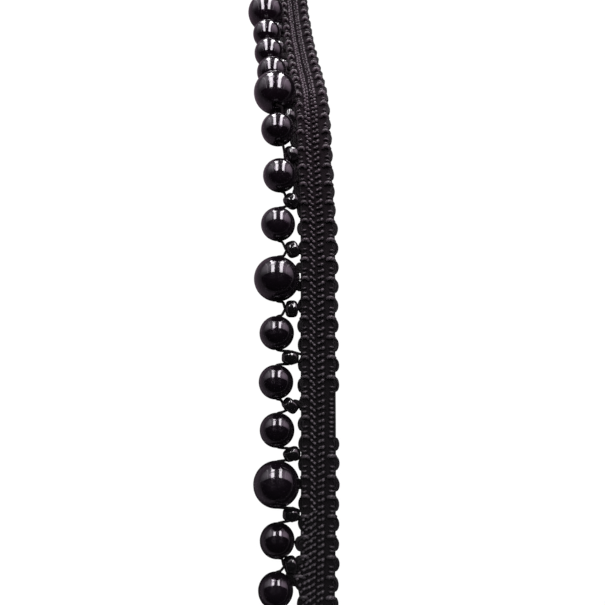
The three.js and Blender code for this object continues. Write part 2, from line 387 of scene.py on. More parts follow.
relief = maths(twisted_yarn, "ADD", ply, maths(twisted_yarn, "MULTIPLY", fibres, FIBRE_HEIGHT))
twisted_yarn.links.new(shade, yarn_out.inputs["Shade"])
twisted_yarn.links.new(relief, yarn_out.inputs["Height"])


def yarn_material(name, dark, light, twist, roughness, ior):
    """Twisted polyester yarn. Each strand's tone says how light it is painted: partly random tone,
    partly painted highlight and painted shade.
    """
    material, tree, shader = new_material(name, Roughness=roughness, IOR=ior)
    yarn = add(tree, "ShaderNodeGroup", node_tree=twisted_yarn)
    yarn.inputs["Twist"].default_value = twist
    tone = add(tree, "ShaderNodeAttribute", attribute_name="tone")
    tree.links.new(tone.outputs["Fac"], yarn.inputs["Tone"])
    tree.links.new(mixed(tree, yarn.outputs["Shade"], dark, light), shader.inputs["Base Color"])
    raise_surface(tree, shader, yarn.outputs["Height"], GROOVE_STRENGTH, GROOVE_DEPTH)
    return material


def bead_stop(n):
    """The thread's way through a round bead: over the hole's lips, drawn towards the braid."""
    clear = bead_r[n] + THREAD_WIDTH * PRESSED_THREAD
    axis, inward = bead_axis[n] * clear, -bead_out[n] * clear
    hug = math.radians(HUG_DEG)
    lips = [bead_at[n] + inward * math.sin(hug) + axis * math.cos(hug) * way for way in (-1, 1)]
    mouths = [bead_at[n] + bead_axis[n] * (bead_r[n] - MOUTH_DEPTH) * way for way in (-1, 1)]
    return [lips[0], mouths[0], bead_at[n], mouths[1], lips[1]]


def seed_stops(n):
    """The thread's way in through a seed bead to its stitch, and from the stitch back out."""
    at, axis, along = seed_at[n], seed_axis[n], bead_axis[min(n, len(BEADS) - 1)]
    upright = abs(axis @ along) > math.sin(math.radians(UPRIGHT_DEG))
    axis = axis * (-1 if upright and axis @ along < 0 else 1)
    shift = unit(np.cross(axis, seed_in[n] + along * STRAND_LEAN)) * STRAND_APART
    half = axis * (SEED_LENGTH / 2 + SEED_CLEAR)
    pricks = (seed_s[n] + STITCH_HALF, seed_s[n] - STITCH_HALF)
    stitch = [lay(s, -BRAID_HALF_WIDTH + STITCH_IN, STITCH_UP) / MM for s in pricks]
    going_in = [at - half + shift, at + shift, at + half + shift, stitch[0]]
    coming_out = [at + half - shift, at - shift, at - half - shift]
    if upright:
        coming_out.reverse()
    return going_in, [stitch[1], *coming_out]


def taut_line(points, step, rounding):
    """Straight runs between the points, with corners rounded over a short length, in even steps."""
    run = np.concatenate([[0], np.cumsum(np.linalg.norm(np.diff(points, axis=0), axis=1))])
    even = np.linspace(0, run[-1], round(run[-1] / step) + 1)
    line = np.stack([np.interp(even, run, points[:, k]) for k in range(3)], 1)
    weights = np.hanning(2 * round(rounding / step / 2) + 3)[1:-1]
    weights /= weights.sum()
    reach = len(weights) // 2
    padded = np.concatenate([line[:1].repeat(reach, 0), line, line[-1:].repeat(reach, 0)])
    line = np.stack([np.convolve(padded[:, k], weights, "valid") for k in range(3)], 1)
    return line, np.linalg.norm(np.diff(line, axis=0), axis=1).sum()


# The thread starts at the first seed bead's stitch and ends at the last one's.
last = len(BEADS)
stops = seed_stops(0)[1]
for n in range(1, last + 1):
    going_in, coming_out = seed_stops(n)
    stops += bead_stop(n - 1) + going_in + (coming_out if n < last else coming_out[:1])
thread_line, thread_length = taut_line(np.array(stops), THREAD_STEP, CORNER_ROUNDING)
thread_material = yarn_material(
    "thread",
    dark=(0.001, 0.001, 0.001),
    light=(0.005, 0.0047, 0.005),
    twist=1.2,
    roughness=0.8,
    ior=1.12,
)
THREAD_TONE = 0.5
thread_tube = tubes([thread_line * MM], THREAD_WIDTH / 2)
thread = new_piece("beading_thread", [(*thread_tube, THREAD_TONE)], thread_material)

# Braid ground. The flat body of the braid, packed polyester yarn that the raised stitches stand on.
# Only its dark bottom shows, down between the ribs.
CORE_HALF_WIDTH, CORE_TOP, CORE_GROOVE, CORE_BOTTOM = 2.75, 0.32, 0.2, -0.62
CORE_OUTLINE = [
    # across, up
    (-CORE_HALF_WIDTH, -0.25),
    (-CORE_HALF_WIDTH, 0.1),
    (-2.45, CORE_TOP),
    (-1.4, CORE_GROOVE),
    (-0.7, CORE_TOP),
    (0, CORE_GROOVE),
    (0.7, CORE_TOP),
    (1.4, CORE_GROOVE),
    (2.45, CORE_TOP),
    (CORE_HALF_WIDTH, 0.1),
    (CORE_HALF_WIDTH, -0.25),
    (2.3, CORE_BOTTOM),
    (0, CORE_BOTTOM),
    (-2.3, CORE_BOTTOM),
]
CORE_SECTIONS, GROUND_TONE = 384, 0.4
# The thread draws the braid's left edge out near one seed bead. Over the hump the beads' weight draws
# the whole braid a little to the left.
DRAWN_OUT, DRAWN_AT, DRAWN_LENGTH, DRAWN_FROM, DRAWN_WIDTH = 1.0, 35.4, 2.0, 0.9, 1.8
PULLED, PULLED_AT, PULLED_LENGTH = 0.42, bead_s[11] + 4.3, 13


def drawn(line):
    """Points (along, across, up), moved to the left as the thread and the beads draw the braid."""
    s, u, v = line[..., 0], line[..., 1], line[..., 2]
    share = np.clip((-u - DRAWN_FROM) / DRAWN_WIDTH, 0, 1)
    out = DRAWN_OUT * np.exp(-(((s - DRAWN_AT) / DRAWN_LENGTH) ** 2))
    pulled = PULLED * np.exp(-(((s - PULLED_AT) / PULLED_LENGTH) ** 2))
    return s, u - out * share - pulled, v


core_s = np.linspace(0, LENGTH, CORE_SECTIONS)
core_u, core_v = np.array(CORE_OUTLINE).T
core_line = np.stack(np.broadcast_arrays(core_s[:, None], core_u, core_v), -1)
core_points = lay(*drawn(core_line)).reshape(-1, 3)
core_sides = np.roll(ring_faces(CORE_SECTIONS, len(CORE_OUTLINE))[:, ::-1], 1, axis=1)
core_end = cap_faces(len(CORE_OUTLINE))
far_end = core_end[:, ::-1] + (CORE_SECTIONS - 1) * len(CORE_OUTLINE)
core_faces = np.concatenate([core_sides, core_end, far_end])
core_uv = np.stack([core_s[core_faces // len(CORE_OUTLINE)], core_u[core_faces % len(CORE_OUTLINE)]], -1)
ground_material = yarn_material(
    "ground_yarn",
    dark=(0.003, 0.0027, 0.003),
    light=(0.005, 0.0045, 0.005),
    twist=0.9,
    roughness=1,
    ior=1.1,
)
braid = new_piece("braid_ground", [(core_points, core_faces, core_uv, GROUND_TONE)], ground_material)
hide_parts("braid")

# Ribs. Two rows of knitted chain stitches run down the middle of the braid. Of each stitch two knuckles
# of twisted yarn stand up, joined by a lower link, so a rib reads as a string of small beads. Towards
# the near end the left rib's stitches lean over and run down to the edge in slanting rows.
STITCH_PITCH, FIRST_STITCH, STITCH_MARGIN, SLANTED_BELOW = 1.13, 1.3, 0.7, 47.5
# The tones are painted light, with a random spread: high tones paint highlights on the knuckles' crests,
# brightest on the left rib, and the links' lower tone is painted shade.
KNUCKLES = {
    # across, lead along, half length along and across, radius, tone
    "left_outer": (-1.18, 0.00, 0.12, -0.09, 0.25, 0.92),
    "left_inner": (-0.70, -0.54, 0.12, -0.10, 0.24, 0.58),
    "right_inner": (0.13, -0.12, 0.03, 0.16, 0.22, 0.33),
    "right_outer": (0.74, 0.10, 0.13, 0.13, 0.31, 0.38),
    "slant_inner": (-0.60, 0.30, 0.13, 0.20, 0.20, 0.55),
    "slant_outer": (-1.30, -0.18, 0.07, 0.08, 0.25, 0.80),
    "slant_low": (-1.95, -0.54, 0.13, 0.20, 0.21, 0.36),
    "slant_edge": (-2.52, -0.98, 0.10, 0.12, 0.23, 0.38),
}
LINKS = [
    # from, to
    ("left_outer", "left_inner"),
    ("right_inner", "right_outer"),
    ("slant_inner", "slant_outer"),
    ("slant_outer", "slant_low"),
]
KNUCKLE_HEIGHTS = (0.36, 0.60, 0.76, 0.60, 0.36)
LINK_HEIGHTS = (0.42, 0.50, 0.52, 0.50, 0.42)
LINK_RADIUS, LINK_TONE, LINK_SPREAD = 0.19, 0.26, 0.08
KNUCKLE_TAPER, LINK_TAPER, KNUCKLE_SHADE = 0.72, 0.9, 0.5
# How uneven the stitches are in mm, and how much their tones differ. Those near the edge are looser.
UNEVEN, UNEVEN_KNUCKLE, UNEVEN_LOOSE = 0.045, 0.05, 0.09
TONE_SPREAD, LOOSE_SPREAD, LOOSE_BEYOND = 0.17, 0.28, 1.5
LEAST_TONE = 0.2
SWELL_FROM, SWELL_TO, SWELL_ROUND = 0.12, 0.88, 0.8
rng = np.random.default_rng(11)


def bend(controls, between):
    """Many short curves through their control points: (curves, points, 3) to a finer set."""
    controls = np.asarray(controls, float)
    first, last = controls[:, :1], controls[:, -1:]
    ends = np.concatenate([2 * first - controls[:, 1:2], controls, 2 * last - controls[:, -2:-1]], 1)
    p0, p1, p2, p3 = (ends[:, k : ends.shape[1] - 3 + k, None] for k in range(4))
    t = np.arange(between)[:, None] / between
    line = 0.5 * (
        2 * p1 + (p2 - p0) * t + (2 * p0 - 5 * p1 + 4 * p2 - p3) * t**2 + (3 * p1 - p0 - 3 * p2 + p3) * t**3
    )
    return np.concatenate([line.reshape(len(controls), -1, 3), last], 1)


def yarns(controls, radius, tone, between=2, sides=8, taper=1, shaded=0):
    """Bent yarns laid on the braid: controls are (along, across, up) in mm, one tone for each yarn.
    Taper thins their ends, and shaded darkens them as painted shade, where they sink into the braid."""
    line = bend(controls, between)
    swell = np.sin(np.linspace(SWELL_FROM, SWELL_TO, line.shape[1]) * math.pi) ** SWELL_ROUND
    points, faces, uv = tubes(lay(*drawn(line)), radius * (taper + (1 - taper) * swell), sides)
    tone = np.asarray(tone)[:, None] * (1 - shaded + shaded * swell**2)
    return points, faces, uv, np.repeat(tone.ravel(), sides)


def repeated(shape, s, u=0, side=1, uneven=UNEVEN):
    """One yarn shape at every s. Across grows towards side, with the unevenness of machine knitting."""
    shape = np.asarray(shape, float)
    out = np.empty((len(s), *shape.shape))
    out[..., 0] = np.asarray(s)[:, None] + shape[:, 0]
    out[..., 1] = u + side * shape[:, 1]
    out[..., 2] = shape[:, 2]
    return out + rng.normal(0, uneven, (len(s), 1, 3))


def stitch_tones(count, middle, spread=TONE_SPREAD):
    """A tone for each stitch, spread about the middle one."""
    return np.clip(rng.normal(middle, spread, count), LEAST_TONE, 1)


rib_s = np.arange(FIRST_STITCH, LENGTH - STITCH_MARGIN, STITCH_PITCH)


def stitches_with(knuckle):
    """Places of the stitches that have this knuckle. The slanted rows take over from the left rib."""
    if knuckle.startswith("slant"):
        return rib_s[rib_s <= SLANTED_BELOW]
    if knuckle.startswith("left"):
        return rib_s[rib_s > SLANTED_BELOW]
    return rib_s


rib_parts = []
for name, (across, lead, half_along, half_across, radius, tone) in KNUCKLES.items():
    s = stitches_with(name)
    steps = np.linspace(-1, 1, len(KNUCKLE_HEIGHTS))
    knuckle = np.stack([steps * half_along, steps * half_across, KNUCKLE_HEIGHTS], 1)
    loose = across < -LOOSE_BEYOND
    controls = repeated(knuckle, s + lead, across, 1, UNEVEN_LOOSE if loose else UNEVEN_KNUCKLE)
    tones = stitch_tones(len(s), tone, LOOSE_SPREAD if loose else TONE_SPREAD)
    rib_parts.append(yarns(controls, radius, tones, taper=KNUCKLE_TAPER, shaded=KNUCKLE_SHADE))
for start, stop in LINKS:
    s = stitches_with(start)
    (from_across, from_lead), (to_across, to_lead) = KNUCKLES[start][:2], KNUCKLES[stop][:2]
    lead = np.linspace(from_lead, to_lead, len(LINK_HEIGHTS))
    across = np.linspace(from_across, to_across, len(LINK_HEIGHTS))
    controls = repeated(np.stack([lead, across, LINK_HEIGHTS], 1), s)
    tones = stitch_tones(len(s), LINK_TONE, LINK_SPREAD)
    rib_parts.append(yarns(controls, LINK_RADIUS, tones, between=1, taper=LINK_TAPER))
# The rib yarn itself is near black. Its light colour, which the high tones reach, is painted highlight.
rib_material = yarn_material(
    "rib_yarn",
    dark=(0.003, 0.0027, 0.003),
    light=(0.030, 0.027, 0.0305),
    twist=1.1,
    roughness=0.36,
    ior=1.33,
)
ribs = new_piece("braid_ribs", rib_parts, rib_material)

# Edge stitches. Along both edges a thicker loop of the same yarn wraps round the edge once for each
# picot, with two small stitches beyond it. Where the right edge has no picots, small even stitches
# lie side by side.
PICOT_PITCH, FIRST_PICOT, LAST_PICOT_MARGIN = 3.42, 3.5, 2.4
EDGE_MARGIN, EDGE_SHADE, STITCH_TAPER = 0.6, 0.4, 0.55
# Their tones paint light and shade on the one black yarn, each row as light as the lamps make it read, the
# left wraps lightest.
WRAPS = {
    # side: inner end, how far it runs along, radius, tone
    -1: (1.66, -0.38, 0.31, 0.5),
    1: (1.6, -0.16, 0.36, 0.34),
}
WRAP_PHASE, SMALL_PHASES = 0.41, (0.66, 0.9)
SMALL_RADIUS, SMALL_TONES = 0.2, {-1: 0.2, 1: 0.34}
SMALL_STITCH = [
    # along, across, up
    (0.02, 1.98, 0.22),
    (0.04, 2.12, 0.48),
    (0.00, 2.34, 0.58),
    (-0.04, 2.56, 0.44),
    (-0.06, 2.74, 0.10),
    (-0.05, 2.70, -0.28),
]
EVEN_RADIUS, EVEN_TONE = 0.27, 0.22
EVEN_STITCH = [
    # along, across, up
    (0.05, 1.94, 0.26),
    (0.05, 2.02, 0.50),
    (0.02, 2.16, 0.60),
    (-0.03, 2.32, 0.48),
    (-0.06, 2.50, 0.14),
    (-0.08, 2.66, -0.28),
]
PLAIN_FROM, PLAIN_TO, PLAIN_PITCH = bead_s[6] - 1.5, bead_s[6] + 5.9, 0.8
picot_s = np.arange(FIRST_PICOT, LENGTH - LAST_PICOT_MARGIN, PICOT_PITCH)


def wrap(inner, drop):
    """The thick loop round the edge, from its inner end over the top and down the side."""
    return [
        # along, across, up
        (drop - 0.04, inner, 0.26),
        (drop * 0.5 + 0.04, inner + 0.14, 0.60),
        (0.08, 2.16, 0.78),
        (-0.02, 2.62, 0.58),
        (-0.22, 2.92, 0.10),
        (-0.26, 2.86, -0.34),
    ]


def is_plain(s, side):
    """The stretch of the right edge that has no picots."""
    return (side > 0) & (s > PLAIN_FROM) & (s < PLAIN_TO)


edge_parts = []
for side, (inner, drop, wrap_radius, wrap_tone) in WRAPS.items():
    rows = [(wrap(inner, drop), wrap_radius, picot_s + WRAP_PHASE * PICOT_PITCH, wrap_tone)]
    for phase in SMALL_PHASES:
        rows.append((SMALL_STITCH, SMALL_RADIUS, picot_s + phase * PICOT_PITCH, SMALL_TONES[side]))
    rows = [(shape, radius, s[~is_plain(s, side)], tone) for shape, radius, s, tone in rows]
    if side > 0:
        even_s = np.arange(PLAIN_FROM + PLAIN_PITCH / 2, PLAIN_TO, PLAIN_PITCH)
        rows.append((EVEN_STITCH, EVEN_RADIUS, even_s, EVEN_TONE))
    for shape, radius, s, tone in rows:
        # The left edge's small stitches stop where the slanting rows reach the edge.
        has_room = (radius > SMALL_RADIUS) | (side > 0) | (s > SLANTED_BELOW)
        s = s[(s < LENGTH - EDGE_MARGIN) & has_room]
        controls = repeated(shape, s, side=side)
        tones = stitch_tones(len(s), tone)
        edge_parts.append(yarns(controls, radius, tones, taper=STITCH_TAPER, shaded=EDGE_SHADE))
edge = new_piece("braid_edge_stitches", edge_parts, rib_material)

# Picots. Small loops of fine polyester strands stand out from both edges, knitted in with the braid. On
# the left they are tucked under where a bead or its stitch is drawn in against it. Over the hump the
# left ones lie fuller and the right ones flatter than along the near part.
STRAND_RADIUS, STRAND_SIDES, STRAND_SPACING = 0.19, 6, 0.3
STRAND_TONE, STRAND_SPREAD, PICOT_UNEVEN = 0.35, 0.08, 0.05
OPEN_HEIGHTS, TUCKED_HEIGHTS = (0.26, -0.02, -0.3), (-0.1, -0.3, -0.5)
PICOTS = {
    # reach, heights of the strands, how much narrower, strands at each height
    "open": (0.66, OPEN_HEIGHTS, 0, 3),
    "short": (0.45, OPEN_HEIGHTS, 0, 3),
    "long": (1.1, OPEN_HEIGHTS, 0, 3),
    "tucked": (0.55, TUCKED_HEIGHTS, 0, 3),
    "drawn": (0.45, TUCKED_HEIGHTS, 0, 3),
    "squeezed": (0.95, TUCKED_HEIGHTS, 0.45, 3),
    "full": (1.25, TUCKED_HEIGHTS, -0.35, 5),
    "full_by_seed": (1.1, TUCKED_HEIGHTS, -0.35, 3),
}
# A strand runs from its root out to a knee, some share of the way to the tip, and closes in to its top.
PICOT_ROOT, KNEE_SHARE, PICOT_HALF_BASE, PICOT_HALF_TOP = 2.5, 0.7, 1.15, 0.5
# The knee bulges, the tip is rounded, the root lies flatter and the inner strands' tops are narrower.
KNEE_BULGE, TIP_SHARE, TIP_ROUND, ROOT_HEIGHT, TOP_INSET = 0.08, 0.7, 0.04, 0.8, 0.6
SEED_ROOM, FULL_SEED_ROOM, BEAD_ROOM = 2.3, 1.38, 2.8
FULL_FROM, SHORT_FROM = bead_s[10] + 3, bead_s[10] + 2
LONG_FROM, LONG_TO = bead_s[3] - 1, bead_s[4] + 1


def picot_kind(s, side):
    """Which kind of picot stands at s, by the beads that lie beside it."""
    to_seed, to_large = np.abs(seed_s - s).min(), np.abs(bead_s[bead_r == LARGE_R] - s).min()
    if side > 0:
        return "short" if s > SHORT_FROM else "open"
    if s > FULL_FROM:
        return "full_by_seed" if to_seed < FULL_SEED_ROOM else "full"
    if abs(s - DRAWN_AT) < SEED_ROOM:
        return "drawn"
    if LONG_FROM < s < LONG_TO:
        return "long"
    if to_large < BEAD_ROOM:
        return "squeezed"
    return "tucked" if to_seed < SEED_ROOM else "open"


def picot_shape(reach, height, inset, narrower):
    """A strand that leaves the edge, runs out to its rounded tip and comes back."""
    tip = BRAID_HALF_WIDTH + reach - STRAND_RADIUS - inset
    half, top = PICOT_HALF_BASE - inset - narrower, PICOT_HALF_TOP - inset * TOP_INSET
    way_back = [
        # along, across, up
        (top * TIP_SHARE, tip - TIP_ROUND, height),
        ((half + top) / 2 + KNEE_BULGE, PICOT_ROOT + (tip - PICOT_ROOT) * KNEE_SHARE, height),
        (half, PICOT_ROOT, height * ROOT_HEIGHT),
    ]
    way_out = [(-along, across, up) for along, across, up in reversed(way_back)]
    return [*way_out, (0, tip, height), *way_back]


picot_parts = []
for side in (-1, 1):
    for s in picot_s[~is_plain(picot_s, side)]:
        reach, heights, narrower, strands = PICOTS[picot_kind(s, side)]
        insets = STRAND_SPACING * np.arange(strands)
        shapes = [picot_shape(reach, height, inset, narrower) for height in heights for inset in insets]
        controls = np.array([repeated(shape, [s], side=side)[0] for shape in shapes])
        controls[..., 0] += rng.normal(0, PICOT_UNEVEN)
        tones = stitch_tones(len(shapes), STRAND_TONE, STRAND_SPREAD)
        picot_parts.append(yarns(controls, STRAND_RADIUS, tones, sides=STRAND_SIDES))

# Two firm selvedge yarns run along each edge, one above the other, and close the gaps at the picots'
# roots.
SELVEDGE_AT, SELVEDGE_HEIGHTS = 2.78, (0.06, -0.34)
# Their low tone is painted shade: it keeps the selvedge near black where the lamps catch it.
SELVEDGE_RADIUS, SELVEDGE_TONE, SELVEDGE_POINTS = 0.25, 0.06, 192


def course(s, across, up):
    """The points of one yarn that runs along the braid."""
    return np.stack(np.broadcast_arrays(s, across, up), 1)


selvedge_s = np.linspace(0, LENGTH, SELVEDGE_POINTS)
for side in (-1, 1):
    for up in SELVEDGE_HEIGHTS:
        run = course(selvedge_s, side * SELVEDGE_AT, up)
        picot_parts.append(yarns([run], SELVEDGE_RADIUS, [SELVEDGE_TONE], between=1))

# Over the hump, and where the left edge is drawn out, slack yarns lie along under the left picots.
SLACK_RADIUS, SLACK_TONE, SLACK_HEIGHT, SLACK_UNEVEN = 0.25, 0.3, -0.45, 0.04
SLACK_POINTS, SLACK_FULLNESS = 60, 0.25
SLACK = [
    # from, to, how far out each yarn bows
    (bead_s[3] + 0.4, bead_s[3] + 4.6, (0.3, 0.7, 1.1, 1.5)),
    (bead_s[10] + 2.5, bead_s[13] + 2, (0.3, 0.72, 1.1)),
]
share = np.linspace(0, 1, SLACK_POINTS)
bow = np.sin(share * math.pi) ** SLACK_FULLNESS
for start, stop, outs in SLACK:
    for out in outs:
        run = course(start + (stop - start) * share, -SELVEDGE_AT - out * bow, SLACK_HEIGHT)
        run[1:-1, 1:] += rng.normal(0, SLACK_UNEVEN, (SLACK_POINTS - 2, 2))
        picot_parts.append(yarns([run], SLACK_RADIUS, [SLACK_TONE], between=1))
picot_material = yarn_material(
    "picot_yarn",
    dark=(0.0015, 0.0015, 0.0016),
    light=(0.006, 0.0054, 0.0062),
    twist=0.5,
    roughness=0.6,
    ior=1.18,
)
picots = new_piece("braid_picots", picot_parts, picot_material)

# Back of the braid. It is knitted flat from the ribs' polyester yarn, which shows there as four columns
# of short bars that slant to and fro.
BACK_COLUMNS = (-2.1, -0.7, 0.7, 2.1)
BACK_RADIUS, BACK_AT, BACK_TONE, FIRST_BAR = 0.2, -0.58, 0.5, 0.7
BACK_BAR = [
    # along, across, up
    (-0.34, -0.66, 0.12),
    (-0.16, -0.42, 0.0),
    (0.16, 0.42, 0.0),
    (0.34, 0.66, 0.12),
]
back_s = np.arange(FIRST_BAR, LENGTH - EDGE_MARGIN, STITCH_PITCH)
back_parts = []
for n, column in enumerate(BACK_COLUMNS):
    controls = repeated(BACK_BAR, back_s, column, 1 - 2 * (n % 2))
    # The bars lie flat, so they keep one height.
    controls[..., 2] = np.array(BACK_BAR)[:, 2] + BACK_AT
    back_parts.append(yarns(controls, BACK_RADIUS, stitch_tones(len(back_s), BACK_TONE)))
back = new_piece("braid_back", back_parts, rib_material)

# Round beads. Glossy black-plum resin beads in two sizes, strung on the thread. Each has a fine drilled
# hole along the row with rounded lips, and a thin clear lacquer over a slightly pearly coat.
BEAD_SIDES, BALL_POINTS, HOLE_LIP = 48, 27, 0.12
HOLE_MOUTH = [
    # wider than the hole, in from the end
    (0.03, 0.02),
    (0, 0.12),
]
# The beads differ a little in tone, between black and a dark plum.
BEAD_BLACK, BEAD_PLUM = (0.001, 0.0008, 0.0011), (0.0025, 0.0018, 0.0027)
DARKEST_TONE, LIGHTEST_TONE = 0.2, 0.8
LACQUER_RIPPLE, LACQUER_STRENGTH, RIPPLE_DEPTH, RIPPLE_DETAIL = 700, 1, 0.0002, 2


def turned(profile, middle, axis, sides):
    """A closed profile (radius, height) turned about the axis through middle."""
    profile = np.asarray(profile, float)
    guide = np.array([0, 0, 1.0]) if abs(axis[2]) < 0.9 else np.array([1.0, 0, 0])
    x = unit(np.cross(axis, guide))
    y = np.cross(axis, x)
    angle = np.arange(sides) * 2 * math.pi / sides
    radial = np.cos(angle)[:, None] * x + np.sin(angle)[:, None] * y
    points = middle + profile[:, :1, None].swapaxes(1, 2) * radial + profile[:, None, 1:] * axis
    faces = ring_faces(len(profile), sides, closed=True)
    uv = np.stack([faces % sides / sides, faces // sides / len(profile)], -1)
    return points.reshape(-1, 3) * MM, faces, uv


def bead_profile(radius):
    """A ball's section with its drilled hole and the hole's rounded lips, from one end to the other."""
    start = math.asin((HOLE_R + HOLE_LIP) / radius)
    arc = np.linspace(start, math.pi - start, BALL_POINTS)
    ball = np.stack([np.sin(arc), -np.cos(arc)], 1) * radius
    mouth = [(HOLE_R + wider, ball[-1][1] - inner) for wider, inner in HOLE_MOUTH]
    other_mouth = [(x, -z) for x, z in reversed(mouth)]
    return np.concatenate([ball, mouth, [(HOLE_R, 0)], other_mouth])


# A faint unevenness of a coat that set while wet, as lacquer and fire-polished glass have.
coat_ripple, ripple_in, ripple_out = new_group("coat_ripple", ("Scale",), ("Height",))
ripple = noise(coat_ripple, ripple_in.outputs["Scale"], RIPPLE_DETAIL)
coat_ripple.links.new(ripple, ripple_out.inputs["Height"])


def ripple_coat(tree, shader, scale, strength):
    """The ripple as a bump on a shader."""
    coat = add(tree, "ShaderNodeGroup", node_tree=coat_ripple)
    coat.inputs["Scale"].default_value = scale
    raise_surface(tree, shader, coat.outputs["Height"], strength, RIPPLE_DEPTH)


bead_material, tree, shader = new_material(
    "black_plum_bead",
    Roughness=0.12,
    IOR=1.32,
    Specular_Tint=(0.85, 0.7, 0.88, 1),
    Coat_Weight=1,
    Coat_Roughness=0.045,
    Coat_IOR=1.52,
)
bead_tone = add(tree, "ShaderNodeAttribute", attribute_name="tone").outputs["Fac"]
tree.links.new(mixed(tree, bead_tone, BEAD_BLACK, BEAD_PLUM), shader.inputs["Base Color"])
ripple_coat(tree, shader, LACQUER_RIPPLE, LACQUER_STRENGTH)
for size, radius in (("large", LARGE_R), ("small", SMALL_R)):
    chosen = np.flatnonzero(bead_r == radius)
    profile, parts = bead_profile(radius), []
    for n in chosen:
        tone = rng.uniform(DARKEST_TONE, LIGHTEST_TONE)
        parts.append((*turned(profile, bead_at[n], bead_axis[n], BEAD_SIDES), tone))
    beads = new_piece(f"{size}_round_beads", parts, bead_material)
    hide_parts(*[f"pearl_{size}_{n + 1}" for n in chosen])

# Seed beads. Short black glass barrels with rounded ends, one between every two round beads, held
# close against the braid's edge by the thread through them.
SEED_HOLE_R, SEED_BARREL, SEED_WALL, SEED_SIDES, SEED_TONE = 0.46, 3.4, 0.2, 32, 0.5
BARREL_POINTS, BARREL_END = 12, 0.09
SEED_MOUTH = [
    # wider than the hole, in from the end
    (0, 0.3),
    (0.03, 0.12),
    (0.14, 0.03),
]
GLASS_RIPPLE, GLASS_STRENGTH = 900, 0.6
barrel = np.linspace(math.pi / 2, BARREL_END, BARREL_POINTS)
barrel_r = np.cos(barrel) ** (2 / SEED_BARREL) * SEED_R
barrel_end = -(np.sin(barrel) ** (2 / SEED_BARREL)) * SEED_LENGTH / 2
near_end = np.stack([barrel_r, barrel_end], 1)[barrel_r > SEED_HOLE_R + SEED_WALL]
mouth = [(SEED_HOLE_R + wider, inner - SEED_LENGTH / 2) for wider, inner in SEED_MOUTH]
near_half = np.concatenate([mouth, near_end])
seed_profile = np.concatenate([near_half, near_half[::-1] * [1, -1]])
seed_material, tree, shader = new_material(
    "black_glass_seed", Base_Color=(0.002, 0.002, 0.0022, 1), Roughness=0.05, IOR=1.72
)
ripple_coat(tree, shader, GLASS_RIPPLE, GLASS_STRENGTH)
parts = [(*turned(seed_profile, at, axis, SEED_SIDES), SEED_TONE) for at, axis in zip(seed_at, seed_axis)]
seed_beads = new_piece("seed_beads", parts, seed_material)
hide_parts(*[f"seed_bead_{n + 1}" for n in range(len(parts))])

# Table. A pale matt table, burnt out to white in the picture. What the beads mirror of it is painted
# dark, as painted shade of the trim over it, and a little lighter on the left, as painted light. It
# throws soft light up on the braid. From here on sizes are in m.
TABLE_HALF, TABLE_DROP = 4, 0.0002
TABLE_WHITE, TABLE_PALE = (1, 1, 1, 1), (0.92, 0.917, 0.915)
MIRRORED_DARK, MIRRORED_LEFT = (0.004, 0.0037, 0.004), (0.07, 0.06, 0.07)
DARK_FROM_X, LIGHT_FROM_X = -0.004, -0.022


def stage_piece(name, corners, faces, material):
    """A mesh object beside the trim: the table, a light or a card."""
    mesh = bpy.data.meshes.new(name)
    mesh.from_pydata(corners, [], faces)
    mesh.materials.append(material)
    piece = bpy.data.objects.new(name, mesh)
    scene.collection.objects.link(piece)
    return piece


table_material, tree, shader = new_material(
    "table", Roughness=0.8, Specular_IOR_Level=0, Emission_Color=TABLE_WHITE
)
table_place = add(tree, "ShaderNodeSeparateXYZ")
tree.links.new(add(tree, "ShaderNodeTexCoord").outputs["Object"], table_place.inputs[0])
to_left = add(tree, "ShaderNodeMapRange", interpolation_type="SMOOTHSTEP")
to_left.inputs["From Min"].default_value = DARK_FROM_X
to_left.inputs["From Max"].default_value = LIGHT_FROM_X
tree.links.new(table_place.outputs[0], to_left.inputs["Value"])
# Painted reflection: the table as the beads mirror it, dark as painted shade, lighter on the left.
table_mirrored = mixed(tree, to_left.outputs[0], MIRRORED_DARK, MIRRORED_LEFT)
table_ray = add(tree, "ShaderNodeLightPath")
table_colour = mixed(tree, table_ray.outputs["Is Diffuse Ray"], table_mirrored, TABLE_PALE)
tree.links.new(table_colour, shader.inputs["Base Color"])
tree.links.new(table_ray.outputs["Is Camera Ray"], shader.inputs["Emission Strength"])
table_corners = [(x * TABLE_HALF, y * TABLE_HALF, 0) for x, y in ((-1, -1), (1, -1), (1, 1), (-1, 1))]
table = stage_piece("table", table_corners, [(0, 1, 2, 3)], table_material)
table.location.z = -TABLE_DROP

# Lamps. Two broad strips of light bend from overhead down to the far side, with a narrow faint one
# on each side. They are the bright strips in the beads, broken where a lamp has a dark gap.
LAMP_FROM_DEG, LAMP_TO_DEG, LAMP_FAR, LAMP_HIGH = -12, 91, 1.3, 1.0
LAMP_COLOUR = (1, 0.97, 1, 1)
LAMPS = {
    # left side, right side, strength, dark gaps in degrees from overhead
    "left_lamp": (-0.49, -0.20, 14, ((48, 53), (73, 76))),
    "right_lamp": (0.24, 0.51, 14, ((60, 62),)),
    "left_edge_lamp": (-0.98, -0.92, 3, ()),
    "right_edge_lamp": (0.98, 1.04, 3, ()),
}


def glowing(name, colour, strength):
    """The material of a lamp."""
    return new_material(
        name, Base_Color=(0, 0, 0, 1), Roughness=1, Emission_Color=colour, Emission_Strength=strength
    )[0]


sweep = np.arange(LAMP_FROM_DEG, LAMP_TO_DEG + 1)
for name, (left, right, strength, gaps) in LAMPS.items():
    arc = [(LAMP_FAR * math.sin(angle), LAMP_HIGH * math.cos(angle)) for angle in np.radians(sweep)]
    corners = [(x, y, z) for y, z in arc for x in (left, right)]
    lit = [k for k, at in enumerate(sweep[:-1]) if not any(low <= at < high for low, high in gaps)]
    faces = [(2 * k, 2 * k + 1, 2 * k + 3, 2 * k + 2) for k in lit]
    lamp = stage_piece(name, corners, faces, glowing(name, LAMP_COLOUR, strength))
    lamp.visible_camera = False

